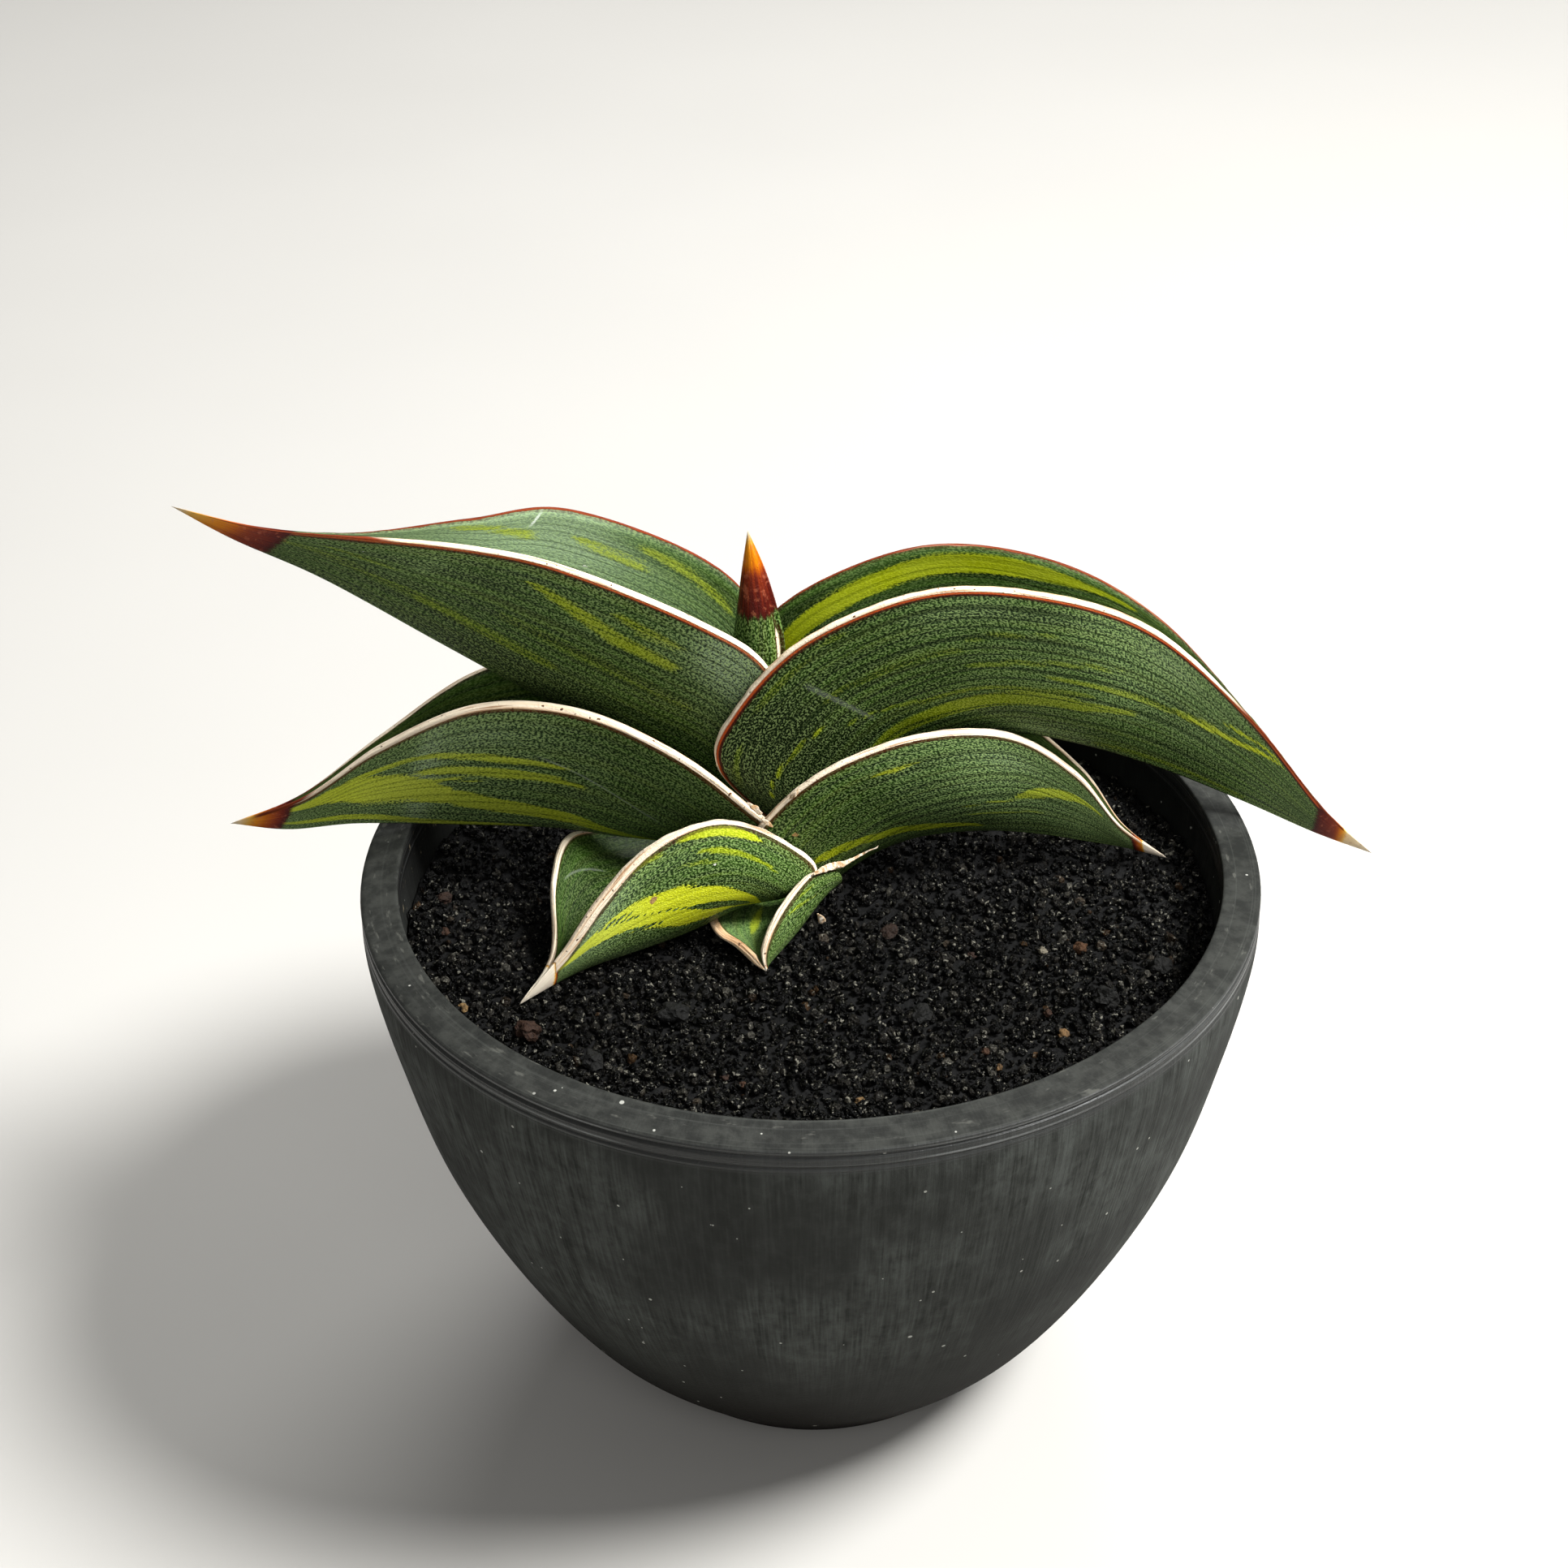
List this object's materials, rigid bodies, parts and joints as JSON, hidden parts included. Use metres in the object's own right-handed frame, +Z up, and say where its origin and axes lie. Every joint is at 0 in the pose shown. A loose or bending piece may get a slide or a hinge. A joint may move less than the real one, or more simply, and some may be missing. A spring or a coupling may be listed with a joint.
{
  "type": "potted sansevieria rorida",
  "caption": "Small succulent with thick channelled leaves in two ranks and a rolled spike at its heart, in a round dark bowl pot of black grit.",
  "frame": {"origin": "centre of the pot's flat underside", "axes": "+Z up, +X to the right of the side that the plant is seen from, +Y away from it; the fan of leaves spreads along X"},
  "size_m": [0.1585, 0.12, 0.1295],
  "materials": {
    "pot": "matt charcoal with wiped streaks",
    "grit": "loose black grains",
    "stem": "dry and pale",
    "leaf": "satin dark green flesh with yellow streaks and papery cream edges"
  },
  "bodies": {
    "root": {"pot": "pot", "grit": "grit", "stem": "stem", "leaf_spike": "leaf", "leaf_left_upper": "leaf", "leaf_right_upper": "leaf", "leaf_left_middle": "leaf", "leaf_right_middle": "leaf", "leaf_left_lower": "leaf", "leaf_right_lower": "leaf"}
  },
  "joints": []
}
